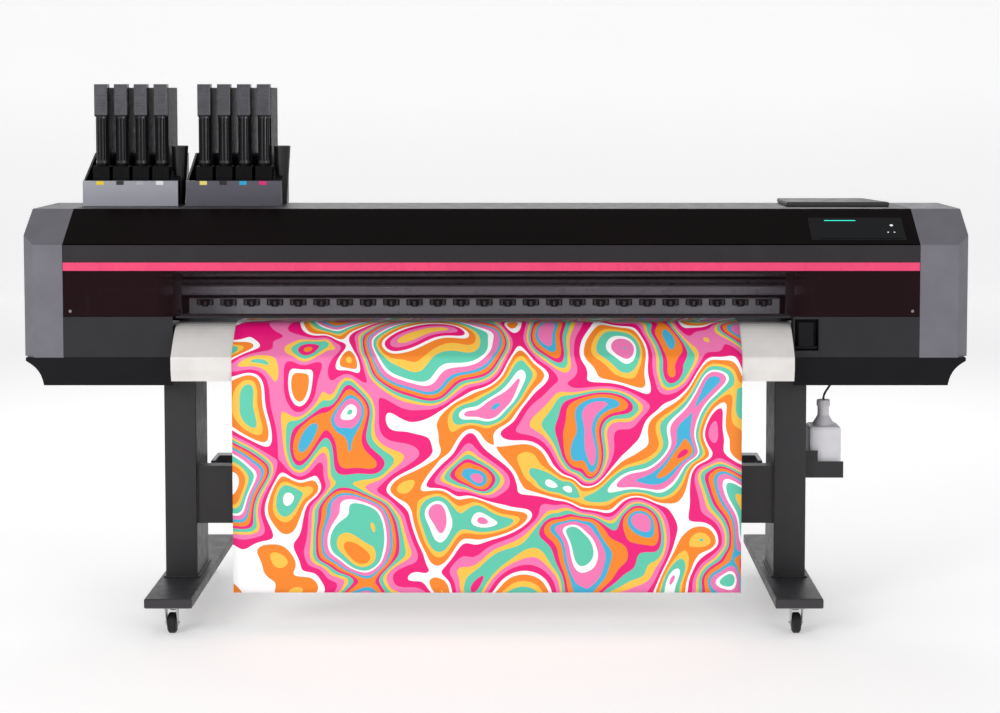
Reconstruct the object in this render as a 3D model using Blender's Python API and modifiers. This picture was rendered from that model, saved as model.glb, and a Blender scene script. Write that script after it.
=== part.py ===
"""A roll-fed wide-format printer cutter on a castered stand. Metres, +Z up, front towards -Y.
The origin is on the floor, at the middle of the machine's width and depth."""

import math

import bmesh
import bpy
from mathutils import Matrix, Vector

# Driving dimensions
GAP = 0.0004                      # clearance between neighbouring solids
HALF_WIDTH = 1.349                # outer face of a side cover
BAY_LEFT, BAY_RIGHT = -1.230, 1.205   # inner edges of the two side covers
FRONT, REAR = -0.2665, 0.262      # front and rear faces of the body
BODY_LOW, BODY_TOP = 0.690, 1.185
SKIRT_TOP, COVER_TOP = 0.769, 0.887   # joints between skirt, lower cover and window
STRIP_LOW, STRIP_TOP, FOLD = 1.017, 1.041, 1.091
TOP_FRONT = -0.1036               # where the sloped fascia meets the flat top
SHELL = 0.004                     # thickness of the plastic covers

STAND_X = -0.032                  # the stand and media path sit left of the body's middle
LEG_WIDE, LEG_FRONT, LEG_BACK = 0.092, -0.172, 0.045
LEG_OUT = 0.9295                  # stand centre to the outer face of a leg
LEG_TOP = 0.7706
FOOT_WIDE, FOOT_HALF_LONG = 0.134, 0.4425
FOOT_LOW, FOOT_TOP = 0.087, 0.1146
FOOT_X = 0.880                    # stand centre to the middle of a foot
BEAM_LOW, BEAM_TOP = 0.272, 0.440
TUBE = 0.003                      # wall of the stand's steel tubes

WHEEL_R, WHEEL_WIDE, TRAIL = 0.029, 0.026, 0.022
CASTER_Y = 0.385                  # swivel axis of a caster from the middle of the foot

PLATEN_TOP = 0.865
GUIDE_LEFT, GUIDE_RIGHT = -0.913, 0.841
WEB = 0.0012                      # media thickness
MEDIA_LEFT, MEDIA_RIGHT = -0.742, 0.694
HANG_LOW = 0.110                  # lower edge of the printed media
ROLLER_Y = -0.060                 # feed roller and pressure rollers
GRIT_R, PRESS_R = 0.012, 0.009
GRIT_Z = PLATEN_TOP + 0.0004 - GRIT_R
PRESS_Z = PLATEN_TOP + 0.0008 + WEB + PRESS_R + 0.0006
BAR_PIVOT = (-0.024, 0.909)       # y, z of the pressure bar's hinge

ROLL_R, ROLL_Y, ROLL_Z = 0.070, 0.3265, 0.600
TRAY_WIDE, TRAY_FRONT, TRAY_BACK = 0.283, 0.0425, 0.258
TRAY_LEFTS = (-1.233, -0.926)
UNIT_PITCH, UNIT_FIRST = 0.059, 0.053
UNIT_Y = 0.0605
UNIT_FOOT, UNIT_TOP = 1.2004, 1.547
CARRIAGE_X = (0.930, 1.185)

for old in list(bpy.data.objects):
    bpy.data.objects.remove(old)
PARTS = bpy.data.collections.new("printer_cutter")
CUTTERS = bpy.data.collections.new("cutters")
for collection in (PARTS, CUTTERS):
    bpy.context.scene.collection.children.link(collection)


# Materials

def material(name, colour, roughness, metallic=0.0, alpha=1.0):
    made = bpy.data.materials.new(name)
    made.use_nodes = True
    shader = made.node_tree.nodes["Principled BSDF"]
    shader.inputs["Base Color"].default_value = (*colour, 1.0)
    shader.inputs["Roughness"].default_value = roughness
    shader.inputs["Metallic"].default_value = metallic
    shader.inputs["Alpha"].default_value = alpha
    return made


GREY = material("cover_grey", (0.16, 0.155, 0.175), 0.5)
CHARCOAL = material("cover_charcoal", (0.045, 0.045, 0.05), 0.5)
GLOSS = material("gloss_black", (0.012, 0.009, 0.009), 0.08)
PINK = material("accent_pink", (0.88, 0.10, 0.24), 0.3)
SMOKED = material("smoked_window", (0.05, 0.02, 0.02), 0.05, alpha=0.35)
STEEL = material("stand_steel", (0.04, 0.038, 0.042), 0.45, 0.2)
METAL = material("bright_metal", (0.5, 0.5, 0.52), 0.3, 0.9)
RUBBER = material("rubber", (0.03, 0.03, 0.03), 0.6)
WHITE = material("guide_white", (0.72, 0.70, 0.68), 0.4)
BOTTLE = material("bottle_plastic", (0.75, 0.74, 0.78), 0.4)
INK = material("ink_unit_black", (0.03, 0.03, 0.035), 0.2)
MEDIA = material("printed_media", (0.85, 0.35, 0.35), 0.5)
PAPER = material("paper_roll", (0.85, 0.85, 0.83), 0.7)


# Shape helpers

def finish(name, mesh, look, location=(0, 0, 0)):
    obj = bpy.data.objects.new(name, mesh)
    obj.location = location
    obj.data.materials.append(look)
    PARTS.objects.link(obj)
    return obj


def helper(obj):
    """Turns an object into a cutter, or into a piece that another object takes in."""
    PARTS.objects.unlink(obj)
    CUTTERS.objects.link(obj)
    obj.hide_render = True
    obj.display_type = "WIRE"
    return obj


def bevelled(obj, width, segments=1):
    edge = obj.modifiers.new("edges", "BEVEL")
    edge.width = width
    edge.segments = segments
    edge.limit_method = "ANGLE"
    edge.angle_limit = math.radians(40)
    return obj


def boolean(obj, other, operation):
    step = obj.modifiers.new(operation.lower(), "BOOLEAN")
    step.operation = operation
    step.object = helper(other)
    return obj


def cut(obj, *others):
    for other in others:
        boolean(obj, other, "DIFFERENCE")
    return obj


def join(obj, *others):
    for other in others:
        boolean(obj, other, "UNION")
    return obj


def box(name, x, y, z, look=CHARCOAL, bevel=0.0, origin=None):
    """A block between the limits x, y and z, with its object's origin at origin."""
    centre = Vector([sum(span) / 2 for span in (x, y, z)])
    size = [span[1] - span[0] for span in (x, y, z)]
    home = Vector(origin) if origin else centre
    bm = bmesh.new()
    bmesh.ops.create_cube(bm, size=1.0)
    bmesh.ops.scale(bm, vec=size, verts=bm.verts)
    bmesh.ops.translate(bm, vec=centre - home, verts=bm.verts)
    mesh = bpy.data.meshes.new(name)
    bm.to_mesh(mesh)
    bm.free()
    obj = finish(name, mesh, look, home)
    return bevelled(obj, bevel) if bevel else obj


AXES = {"X": Matrix.Rotation(math.pi / 2, 4, "Y"), "Y": Matrix.Rotation(-math.pi / 2, 4, "X"), "Z": Matrix()}


def rod(name, centre, radius, length, axis="X", look=METAL, sides=16, end_radius=None):
    """A cylinder, or a cone whose +axis end has end_radius, about its centre."""
    bm = bmesh.new()
    top = radius if end_radius is None else end_radius
    bmesh.ops.create_cone(bm, cap_ends=True, segments=sides, radius1=radius, radius2=top, depth=length)
    bmesh.ops.transform(bm, matrix=AXES[axis], verts=bm.verts)
    mesh = bpy.data.meshes.new(name)
    bm.to_mesh(mesh)
    bm.free()
    mesh.shade_smooth()
    mesh.set_sharp_from_angle(angle=math.radians(40))
    return finish(name, mesh, look, centre)


PLANES = {  # columns: where the outline's two directions and its thickness point
    "YZ": Matrix(((0, 0, 1), (1, 0, 0), (0, 1, 0))),
    "XZ": Matrix(((1, 0, 0), (0, 0, -1), (0, 1, 0))),
    "XY": Matrix.Identity(3),
}


def outlined(name, plane, points, low, high, look=CHARCOAL, bevel=0.0):
    """An outline in a plane, extruded from low to high along the third axis, as a mesh."""
    flat = bpy.data.curves.new(name, "CURVE")
    flat.dimensions = "2D"
    flat.fill_mode = "BOTH"
    flat.extrude = (high - low) / 2
    line = flat.splines.new("POLY")
    line.points.add(len(points) - 1)
    for point, (u, v) in zip(line.points, points):
        point.co = (u, v, 0, 1)
    line.use_cyclic_u = True
    made = finish(name + "_outline", flat, look)
    turn = PLANES[plane]
    middle = Vector([abs(part) * (low + high) / 2 for part in turn.col[2]])
    made.matrix_world = Matrix.Translation(middle) @ turn.to_4x4()
    bpy.context.view_layer.update()
    mesh = bpy.data.meshes.new_from_object(made.evaluated_get(bpy.context.evaluated_depsgraph_get()))
    bm = bmesh.new()
    bm.from_mesh(mesh)
    bmesh.ops.remove_doubles(bm, verts=bm.verts, dist=1e-5)
    bmesh.ops.recalc_face_normals(bm, faces=bm.faces)
    bmesh.ops.transform(bm, matrix=made.matrix_world, verts=bm.verts)
    bm.to_mesh(mesh)
    bm.free()
    bpy.data.objects.remove(made)
    obj = finish(name, mesh, look)
    return bevelled(obj, bevel) if bevel else obj


def hinged(obj, pivot):
    """Moves the object's origin to a point on its joint's axis, leaving its shape where it is."""
    obj.data.transform(Matrix.Translation(-Vector(pivot)))
    obj.location = pivot
    return obj


def strip_outline(path, inner, outer):
    """The closed outline of a strip that runs from inner to outer, measured to the left of the path."""
    left, right = [], []
    for i, (u, v) in enumerate(path):
        a = path[max(i - 1, 0)]
        b = path[min(i + 1, len(path) - 1)]
        along = Vector((b[0] - a[0], b[1] - a[1])).normalized()
        normal = Vector((-along.y, along.x))
        left.append((u + normal.x * outer, v + normal.y * outer))
        right.append((u + normal.x * inner, v + normal.y * inner))
    return left + right[::-1]


def bezier(a, b, c, d, steps):
    """Points of the cubic curve from a to d, with b and c pulling its ends."""
    made = []
    for i in range(steps + 1):
        t = i / steps
        w = ((1 - t) ** 3, 3 * t * (1 - t) ** 2, 3 * t * t * (1 - t), t**3)
        made.append(tuple(sum(k * p[n] for k, p in zip(w, (a, b, c, d))) for n in (0, 1)))
    return made


def turned(name, profile, centre, look, sides=16):
    """A solid of revolution about X from (x, radius) points that start and end on the axis."""
    mesh = bpy.data.meshes.new(name)
    points = [(x, 0, radius) for x, radius in profile]
    mesh.from_pydata(points, [(i, i + 1) for i in range(len(points) - 1)], [])
    obj = finish(name, mesh, look, centre)
    screw = obj.modifiers.new("turn", "SCREW")
    screw.axis = "X"
    screw.steps = screw.render_steps = sides
    screw.use_merge_vertices = True
    screw.merge_threshold = 0.00001
    screw.use_normal_flip = False
    return obj


# Stand

def stand():
    for side, sign in (("left", -1), ("right", 1)):
        x = STAND_X + sign * FOOT_X
        wide = (x - FOOT_WIDE / 2, x + FOOT_WIDE / 2)
        foot = box(f"{side}_foot", wide, (-FOOT_HALF_LONG, FOOT_HALF_LONG), (FOOT_LOW, FOOT_TOP), STEEL, 0.003)
        cut(foot, box("foot_bore", (wide[0] + TUBE, wide[1] - TUBE), (TUBE - FOOT_HALF_LONG, 1.0),
                      (FOOT_LOW + TUBE, FOOT_TOP - TUBE)))
        outer = STAND_X + sign * LEG_OUT
        wide = sorted((outer, outer - sign * LEG_WIDE))
        leg = box(f"{side}_leg", wide, (LEG_FRONT, LEG_BACK), (FOOT_TOP + GAP, LEG_TOP), STEEL, 0.002)
        cut(leg, box("leg_bore", (wide[0] + TUBE, wide[1] - TUBE), (LEG_FRONT + TUBE, LEG_BACK - TUBE),
                     (0.0, 1.0)))
    reach = LEG_OUT - LEG_WIDE - GAP
    web, flange = LEG_FRONT + 0.012, LEG_FRONT + 0.062
    channel = [(web, BEAM_LOW), (flange, BEAM_LOW), (flange, BEAM_LOW + 0.003), (web + 0.003, BEAM_LOW + 0.003),
               (web + 0.003, BEAM_TOP - 0.003), (flange, BEAM_TOP - 0.003), (flange, BEAM_TOP), (web, BEAM_TOP)]
    outlined("stand_crossbeam", "YZ", channel, STAND_X - reach, STAND_X + reach, STEEL)
    for side, sx in (("left", -1), ("right", 1)):
        for end, sy in (("front", -1), ("rear", 1)):
            caster(f"{side}_{end}", STAND_X + sx * FOOT_X, sy * CASTER_Y, brake=sy < 0, inward=-sx)


def caster(place, x, y, brake, inward):
    """A swivel caster trailing towards the rear: its fork, its wheel and, in front, its brake pedal."""
    axle_y = y + TRAIL
    fork_low, fork_top = WHEEL_R - 0.007, FOOT_LOW - GAP
    half = WHEEL_WIDE / 2 + 0.0018
    fork = box(f"{place}_caster_fork", (x - 0.019, x + 0.019), (y - 0.019, y + 0.030),
               (fork_top - 0.010, fork_top), METAL, origin=(x, y, fork_top))
    for sign in (-1, 1):
        wall = (x + sign * half, x + sign * (half + 0.0022))
        cheek = [(y - 0.014, fork_top - 0.004), (axle_y - 0.008, fork_low), (axle_y + 0.008, fork_low),
                 (axle_y + 0.008, fork_top - 0.004)]
        join(fork, outlined("cheek", "YZ", cheek, min(wall), max(wall)))
    join(fork, rod("axle", (x, axle_y, WHEEL_R), 0.003, 2 * half + 0.012, sides=10))
    turned(f"{place}_caster_wheel", [
        (WHEEL_WIDE / 2, 0.0036), (WHEEL_WIDE / 2, 0.018), (WHEEL_WIDE / 2 - 0.001, WHEEL_R - 0.005),
        (WHEEL_WIDE / 2 - 0.005, WHEEL_R), (-WHEEL_WIDE / 2 + 0.005, WHEEL_R),
        (-WHEEL_WIDE / 2 + 0.001, WHEEL_R - 0.005), (-WHEEL_WIDE / 2, 0.018), (-WHEEL_WIDE / 2, 0.0036),
        (WHEEL_WIDE / 2, 0.0036)], (x, axle_y, WHEEL_R), RUBBER, 24)
    if brake:
        pivot = (x, axle_y + 0.012, WHEEL_R + 0.036)
        shape = ((0, 0.004), (0, -0.002), (0.030, -0.011), (0.034, -0.009), (0.032, -0.003))
        pedal = [(pivot[1] + y, pivot[2] + z) for y, z in shape]
        hinged(outlined(f"{place}_caster_brake", "YZ", pedal, x - 0.010, x + 0.010, RUBBER), pivot)


# Body frame and covers

def body_outline(inset=0.0, low=SKIRT_TOP):
    """The body seen from the side, drawn in by inset."""
    front = [(FRONT + inset, low + inset), (FRONT + inset, FOLD - inset * 0.3)]
    roof = [(TOP_FRONT + inset * 0.5, BODY_TOP - inset), (REAR - 0.020 - inset * 0.4, BODY_TOP - inset)]
    back = [(REAR - inset, BODY_TOP - 0.030 - inset * 0.4), (REAR - inset, low + inset)]
    return front + roof + back


def side_cover(name, outer, inner):
    """A hollow side cover, open towards the machine, with its front outer edge cut off at a slant."""
    sign = 1 if outer > 0 else -1
    shell = outlined(name, "YZ", body_outline(low=SKIRT_TOP + GAP), min(outer, inner), max(outer, inner), GREY)
    slant = [(outer - sign * 0.035, FRONT - 0.02), (outer - sign * 0.035, FRONT), (outer, FRONT + 0.043),
             (outer + sign * 0.02, FRONT + 0.043), (outer + sign * 0.02, FRONT - 0.02)]
    corner = outlined("corner_cut", "XY", slant, 0.6, 1.3)
    pocket_end = outer - sign * 0.030
    past = inner - sign * 0.01
    pocket = outlined("pocket", "YZ", body_outline(0.006, SKIRT_TOP + GAP), *sorted((pocket_end, past)))
    return cut(shell, corner, pocket)


def skirt(name, outer, inner, leg_side):
    """The lower front corner of the body: front wall, floor and a concave outer end."""
    sign = 1 if outer > 0 else -1
    end = outer - sign * 0.011
    arc = bezier((end, SKIRT_TOP - 0.009), (end - sign * 0.026, SKIRT_TOP - 0.024),
                 (end - sign * 0.044, BODY_LOW + 0.040), (end - sign * 0.051, BODY_LOW), 7)
    outline = [(inner, SKIRT_TOP), (end, SKIRT_TOP), *arc, (inner, BODY_LOW)]
    shell = outlined(name, "XZ", outline, FRONT, REAR)
    hollow_end = end - sign * 0.062
    hollow = box("hollow", (min(hollow_end, inner - sign * 0.05), max(hollow_end, inner - sign * 0.05)),
                 (FRONT + SHELL, REAR - SHELL), (BODY_LOW + SHELL, SKIRT_TOP + 0.05))
    notch = box("leg_notch", (min(leg_side, inner - sign * 0.05), max(leg_side, inner - sign * 0.05)),
                (FRONT + SHELL, REAR + 0.05), (BODY_LOW - 0.05, SKIRT_TOP + 0.05))
    return cut(shell, hollow, notch)


def frame():
    """End frames, base beam and carriage rail, the parts that carry the rest."""
    for side, x in (("left", BAY_LEFT + 0.004), ("right", BAY_RIGHT - 0.010)):
        plate = [(-0.160, SKIRT_TOP + 0.002), (-0.160, 0.850), (-0.215, 0.870), (-0.215, 1.060),
                 (-0.110, 1.150), (0.240, 1.150), (0.240, SKIRT_TOP + 0.002)]
        outlined(f"{side}_end_frame", "YZ", plate, x, x + 0.006, METAL)
    low, high = BAY_LEFT + 0.010 + GAP, BAY_RIGHT - 0.010 - GAP
    beam = box("base_beam", (low, high), (-0.160, 0.235), (SKIRT_TOP + 0.002, 0.838), STEEL)
    cut(beam, box("beam_bore", (low - 0.1, high + 0.1), (-0.156, 0.231), (SKIRT_TOP + 0.006, 0.834)))
    rail = [(-0.075, 0.930), (-0.079, 0.934), (-0.079, 0.955), (-0.075, 0.959), (0.015, 0.959), (0.015, 1.010),
            (0.019, 1.010), (0.019, 0.930)]
    outlined("carriage_rail", "YZ", rail, low, high, METAL)


def slope_box(name, x, along, depth, look=GLOSS):
    """A block lying in the plane of the sloped fascia: along it from its lower edge, and in depth below it."""
    slope = math.atan2(BODY_TOP - FOLD, TOP_FRONT - FRONT)
    obj = box(name, x, along, (-depth[1], -depth[0]), look, origin=(sum(x) / 2, 0, 0))
    obj.location = (sum(x) / 2, FRONT, FOLD)
    obj.rotation_euler = (slope, 0, 0)
    return obj


PANEL_X, PANEL_ALONG = (0.900, 1.170), (0.022, 0.140)


def covers():
    side_cover("left_side_cover", -HALF_WIDTH, BAY_LEFT - GAP)
    side_cover("right_side_cover", HALF_WIDTH, BAY_RIGHT + GAP)
    skirt("left_skirt", -HALF_WIDTH, GUIDE_LEFT - 0.006, STAND_X - LEG_OUT - 0.006)
    skirt("right_skirt", HALF_WIDTH, GUIDE_RIGHT + 0.006, STAND_X + LEG_OUT + 0.006)
    bay = (BAY_LEFT + GAP, BAY_RIGHT - GAP)
    run = math.hypot(BODY_TOP - FOLD, TOP_FRONT - FRONT)
    fascia = slope_box("top_fascia", bay, (0.0045, run - 0.001), (0.0, SHELL))
    cut(fascia, slope_box("panel_opening", PANEL_X, PANEL_ALONG, (-0.02, 0.02)))
    panel = slope_box("touch_panel", (PANEL_X[0] + GAP, PANEL_X[1] - GAP),
                      (PANEL_ALONG[0] + GAP, PANEL_ALONG[1] - GAP), (-0.001, 0.010))
    bevelled(panel, 0.0008)
    roof = [(TOP_FRONT + 0.001, BODY_TOP), (REAR - 0.020, BODY_TOP), (REAR, BODY_TOP - 0.030), (REAR, 0.905),
            (REAR - SHELL, 0.905), (REAR - SHELL, BODY_TOP - 0.032), (REAR - 0.022, BODY_TOP - SHELL),
            (TOP_FRONT + 0.004, BODY_TOP - SHELL)]
    outlined("top_cover", "YZ", roof, *bay, GREY)
    lid = [(0.857, 0.007), (1.162, 0.007), (1.122, 0.250), (0.857, 0.250)]
    outlined("top_service_lid", "XY", lid, BODY_TOP + GAP, BODY_TOP + 0.014, GREY, 0.003)


def lower_covers():
    """The two hinged service covers below the window."""
    hollow = 0.016
    for side, x in (("left", (BAY_LEFT + GAP, GUIDE_LEFT - 0.006)), ("right", (0.923, BAY_RIGHT - GAP))):
        walls = [(FRONT, SKIRT_TOP + 0.001), (FRONT, COVER_TOP - 0.001), (FRONT + hollow, COVER_TOP - 0.001),
                 (FRONT + hollow, COVER_TOP - 0.004), (FRONT + SHELL, COVER_TOP - 0.004),
                 (FRONT + SHELL, SKIRT_TOP + 0.001)]
        door = outlined(f"{side}_service_cover", "YZ", walls, *x, CHARCOAL)
        hinged(door, (sum(x) / 2, FRONT, SKIRT_TOP + 0.001))
    lever_bay = box("lever_housing", (GUIDE_RIGHT + 0.006, 0.9224), (FRONT, -0.210),
                    (SKIRT_TOP + 0.001, COVER_TOP - 0.001))
    cut(lever_bay, box("lever_recess", (0.850, 0.9184), (FRONT - 0.02, -0.216), (0.789, 0.879)))


def front_cover():
    """The hinged front cover: band, posts and lower rail in one frame, with its accent strip and window."""
    bay = (BAY_LEFT + 2 * GAP, BAY_RIGHT - 2 * GAP)
    band = [(FRONT, STRIP_TOP + GAP), (FRONT, FOLD - 0.001), (FRONT + SHELL, FOLD - 0.001),
            (FRONT + SHELL, STRIP_TOP + 0.006), (FRONT + 0.012, STRIP_TOP + 0.006),
            (FRONT + 0.012, STRIP_LOW - 0.008), (FRONT + 0.005, STRIP_LOW - 0.008),
            (FRONT + 0.005, STRIP_TOP + GAP)]
    hinge = ((bay[0] + bay[1]) / 2, FRONT, FOLD)
    cover = hinged(outlined("front_cover", "YZ", band, *bay), hinge)
    for x in ((GUIDE_LEFT - 0.006, GUIDE_LEFT + 0.018), (GUIDE_RIGHT - 0.016, GUIDE_RIGHT + 0.008)):
        join(cover, box("post", x, (FRONT + 0.006, FRONT + 0.022), (COVER_TOP + 0.004, STRIP_LOW - 0.004)))
    join(cover, box("lower_rail", (GUIDE_LEFT + 0.002, GUIDE_RIGHT - 0.002), (FRONT + 0.008, FRONT + 0.020),
                    (0.8815, 0.8930)))
    box("accent_strip", bay, (FRONT - 0.0015, FRONT + 0.005 - GAP), (STRIP_LOW, STRIP_TOP), PINK, 0.001, hinge)
    box("front_window", bay, (FRONT + 0.001, FRONT + 0.0046), (COVER_TOP + 0.0005, STRIP_LOW - GAP), SMOKED,
        origin=hinge)


# Media path

GUIDE_PATH = [(-0.200, PLATEN_TOP - 0.001)] + bezier(
    (-0.221, PLATEN_TOP - 0.001), (-0.258, PLATEN_TOP - 0.001), (-0.312, 0.812), (-0.3445, 0.780), 9) + [
    (-0.3465, 0.774), (-0.3465, 0.742), (-0.336, 0.711)]


def media_path():
    ramp = strip_outline(GUIDE_PATH, 0.0, 0.003)
    outlined("front_paper_guide", "YZ", ramp, GUIDE_LEFT, GUIDE_RIGHT, WHITE)
    platen = box("platen", (GUIDE_LEFT, GUIDE_RIGHT), (-0.198, 0.203), (0.8384, PLATEN_TOP), METAL)
    slot = (ROLLER_Y - 0.015, ROLLER_Y + 0.015)
    cut(platen, box("roller_slot", (GUIDE_LEFT + 0.020, GUIDE_RIGHT - 0.020), slot, (0.8, 0.9)))
    for trough in ((-0.194, slot[0] - 0.004), (slot[1] + 0.004, 0.199)):
        cut(platen, box("trough", (GUIDE_LEFT - 0.1, GUIDE_RIGHT + 0.1), trough, (0.8, PLATEN_TOP - 0.004)))
    arc = bezier((0.2035, PLATEN_TOP - 0.001), (0.240, PLATEN_TOP - 0.001), (0.2515, 0.845), (0.2515, 0.800), 6)
    back = strip_outline(arc + [(0.2515, 0.700)], -0.003, 0.0)
    outlined("rear_paper_guide", "YZ", back, GUIDE_LEFT, GUIDE_RIGHT, WHITE)
    off_roll = ROLL_Y - ROLL_R - 0.0018
    rise = [(off_roll, ROLL_Z), (off_roll, 0.800)]
    over = bezier(rise[-1], (off_roll, 0.848), (0.245, PLATEN_TOP + 0.0006), (0.205, PLATEN_TOP + 0.0006), 7)
    front = GUIDE_PATH[:-1]
    lifted = strip_outline(front, -0.0016, 0)[len(front):][::-1]
    hang = lifted[-1][0]
    route = rise[:1] + over + lifted + [(hang, 0.5), (hang, HANG_LOW)]
    outlined("printed_media", "YZ", strip_outline(route, 0.0, -WEB), MEDIA_LEFT, MEDIA_RIGHT, MEDIA)
    length = GUIDE_RIGHT - GUIDE_LEFT - 0.044
    middle = (GUIDE_LEFT + GUIDE_RIGHT) / 2
    rod("feed_roller", (middle, ROLLER_Y, GRIT_Z), GRIT_R, length, look=METAL, sides=16)
    count, wide = 22, 0.030
    pitch = (length - wide) / (count - 1)
    profile = [(length / 2 + 0.004, 0)]
    for i in reversed(range(count)):
        x = -length / 2 + wide / 2 + i * pitch
        profile += [(x + wide / 2, 0.003), (x + wide / 2, PRESS_R)]
        profile += [(x - wide / 2, PRESS_R), (x - wide / 2, 0.003)]
    shaft_end = length / 2 + 0.004
    profile = [profile[0], (shaft_end, 0.003)] + profile[1:] + [(-shaft_end, 0.003), (-shaft_end, 0)]
    turned("pressure_rollers", profile, (middle, ROLLER_Y, PRESS_Z), RUBBER, 8)
    across = (middle - length / 2 - 0.010, middle + length / 2 + 0.010)
    bar = box("pressure_roller_bar", across, (-0.0735, -0.020), (0.898, 0.920), METAL,
              origin=(middle, *BAR_PIVOT))
    join(bar, box("bar_lip", across, (-0.0735, -0.0705), (0.872, 0.905)))
    for sign in (-1, 1):
        end = middle + sign * (length / 2 + 0.007)
        join(bar, box("bar_end", (end - 0.0025, end + 0.0025), (-0.072, -0.030), (0.870, 0.902)))
    lever_axle = (0.8842, -0.257, 0.797)
    lever = box("media_lever", (0.859, 0.908), (-0.262, -0.252), (0.797, 0.873), CHARCOAL, 0.004, lever_axle)
    join(lever, rod("lever_barrel", lever_axle, 0.0055, 0.062, sides=12))


def carriage():
    low, high = CARRIAGE_X
    head = box("print_carriage", CARRIAGE_X, (-0.205, -0.0835), (0.874, 1.000), CHARCOAL, 0.006)
    join(head, box("rail_shoe", (low + 0.030, high - 0.030), (-0.090, -0.020), (0.9596, 0.985)))
    box("cutter_unit", (low - 0.022, low - GAP), (-0.160, -0.130), (0.880, 0.930), METAL, 0.002)


def roll_feed():
    middle = (MEDIA_LEFT + MEDIA_RIGHT) / 2
    half = (MEDIA_RIGHT - MEDIA_LEFT) / 2
    turned("media_roll", [(half, 0.026), (half, ROLL_R), (-half, ROLL_R), (-half, 0.026), (half, 0.026)],
           (middle, ROLL_Y, ROLL_Z), PAPER, 24)
    reach = LEG_OUT - LEG_WIDE - 0.010
    rail = box("roll_rail", (STAND_X - reach, STAND_X + reach), (0.140, 0.190), (0.380, 0.420), METAL)
    for sign in (-1, 1):
        x = STAND_X + sign * (reach - 0.006)
        join(rail, box("rail_arm", (x - 0.006, x + 0.006), (LEG_BACK + GAP, 0.160), (0.380, 0.420)))
    for side, sign, face in (("left", -1, MEDIA_LEFT), ("right", 1, MEDIA_RIGHT)):
        start, end = face + sign * 0.003, face + sign * 0.038
        arm = [(0.130, 0.4204), (0.205, 0.4204), (0.345, 0.560), (0.345, 0.591), (0.300, 0.591), (0.130, 0.460)]
        holder = outlined(f"{side}_roll_holder", "YZ", arm, *sorted((start, end)), CHARCOAL)
        join(holder, rod("flange", (face + sign * 0.0205, ROLL_Y, ROLL_Z), 0.055, 0.035, sides=24))
        join(holder, rod("boss", (face - sign * 0.005, ROLL_Y, ROLL_Z), 0.0254, 0.050, sides=20))


# Ink supply and waste

def ink_station():
    number = 0
    for side, left in zip(("left", "right"), TRAY_LEFTS):
        right = left + TRAY_WIDE
        wall = [(TRAY_FRONT, BODY_TOP + GAP), (TRAY_FRONT, 1.260), (TRAY_FRONT + 0.020, 1.262), (0.235, 1.338),
                (TRAY_BACK, 1.338), (TRAY_BACK, BODY_TOP + GAP)]
        tray = outlined(f"{side}_ink_tray", "YZ", wall, left, right, GREY)
        cup = (right - 0.0035, 0.110)
        join(tray, rod("cup", (*cup, 1.2745), 0.014, 0.175, "Z", end_radius=0.0255))
        pocket = box("pocket", (left + 0.006, right - 0.027), (TRAY_FRONT + 0.006, TRAY_BACK - 0.006),
                     (1.200, 1.400))
        cut(tray, pocket, rod("cup_bore", (*cup, 1.352), 0.0185, 0.030, "Z", end_radius=0.0235))
        for i in range(4):
            number += 1
            ink_unit(f"ink_unit_{number}", left + UNIT_FIRST + i * UNIT_PITCH)


def ink_unit(name, x):
    """An ink pack in its adapter: cap, slim column, foot block and the flat case behind them."""
    case = box(name, (x - 0.019, x + 0.021), (UNIT_Y + 0.020, 0.248), (UNIT_FOOT, UNIT_TOP - 0.010), INK)
    join(case, box("cap", (x - 0.019, x + 0.019), (UNIT_Y, UNIT_Y + 0.040), (1.451, UNIT_TOP)),
         box("foot", (x - 0.0245, x + 0.0245), (UNIT_Y - 0.004, UNIT_Y + 0.060), (UNIT_FOOT + 0.002, 1.303)),
         rod("column", (x, UNIT_Y + 0.0175, 1.375), 0.0172, 0.160, "Z", sides=12))


BOTTLE_X, BOTTLE_Y = 0.9612, -0.066


def waste():
    half, deep = 0.047, 0.050
    leg_side = STAND_X + LEG_OUT
    bracket = box("waste_bottle_bracket", (leg_side + GAP, BOTTLE_X + half + 0.004),
                  (BOTTLE_Y - 0.066, BOTTLE_Y + 0.066), (0.400, 0.448), STEEL)
    room = (BOTTLE_Y - 0.063, BOTTLE_Y + 0.063)
    cut(bracket, box("bottle_room", (leg_side + 0.004, 1.2), room, (0.403, 0.6)))
    join(bracket, box("tall_lip", (leg_side + GAP, leg_side + 0.040), (BOTTLE_Y - 0.066, BOTTLE_Y - 0.063),
                      (0.402, 0.480)))
    bottle = box("waste_bottle", (BOTTLE_X - half, BOTTLE_X + half), (BOTTLE_Y - deep, BOTTLE_Y + deep),
                 (0.404, 0.548), BOTTLE)
    bevelled(bottle, 0.010, 2)
    shoulder = rod("shoulder", (BOTTLE_X, BOTTLE_Y, 0.557), 0.040, 0.040, "Z", sides=20, end_radius=0.016)
    join(bottle, shoulder, rod("neck", (BOTTLE_X, BOTTLE_Y, 0.594), 0.017, 0.054, "Z", sides=20))
    route = bpy.data.curves.new("waste_tube", "CURVE")
    route.dimensions = "3D"
    route.bevel_depth = 0.0032
    route.bevel_resolution = 2
    route.use_fill_caps = True
    top = (BOTTLE_X + 0.025, BODY_LOW - 0.0004)
    points = bezier((BOTTLE_X, 0.6214), (BOTTLE_X, 0.650), (BOTTLE_X + 0.025, 0.655), top, 7)
    line = route.splines.new("POLY")
    line.points.add(len(points) - 1)
    for point, (x, z) in zip(line.points, points):
        point.co = (x, BOTTLE_Y, z, 1)
    finish("waste_tube", route, RUBBER)


stand()
frame()
covers()
lower_covers()
front_cover()
media_path()
carriage()
roll_feed()
ink_station()
waste()
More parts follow.
